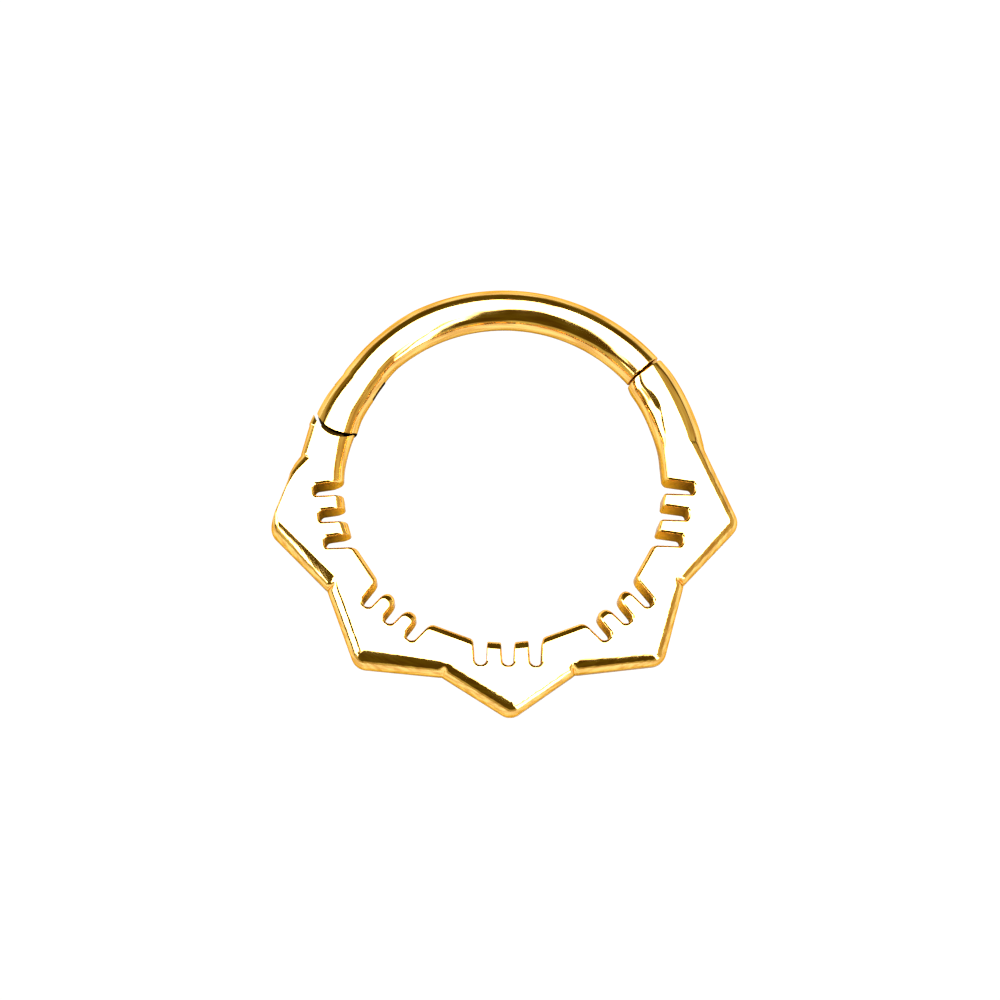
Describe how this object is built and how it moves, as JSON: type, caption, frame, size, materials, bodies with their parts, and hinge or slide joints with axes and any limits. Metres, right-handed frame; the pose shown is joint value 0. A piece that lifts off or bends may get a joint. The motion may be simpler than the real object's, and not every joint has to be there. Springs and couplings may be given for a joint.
{
  "type": "septum clicker",
  "caption": "Round hinged septum ring in polished gold colour, with a scalloped lower plate of pointed petals, each with short slots open to the inside.",
  "frame": {"origin": "centre of the ring's inside circle, on the plane of its back, which is the surface it lies on", "axes": "+X towards the closure's side, +Y towards the round bar that passes through the piercing, +Z out of the front face"},
  "size_m": [0.0141, 0.0132, 0.0012],
  "materials": {
    "gold": "mirror-polished gold-coloured coating on steel"
  },
  "bodies": {
    "root": {"petal_plate": "gold", "hinge_pin": "gold"},
    "bar": {"hinged_bar": "gold"}
  },
  "joints": [
    {"name": "bar_hinge", "type": "hinge", "parent": "root", "child": "bar", "pos_m": [-0.0049, 0.00261, 0.00063], "axis": [0, 0, 1], "range_deg": [0, 90]}
  ]
}
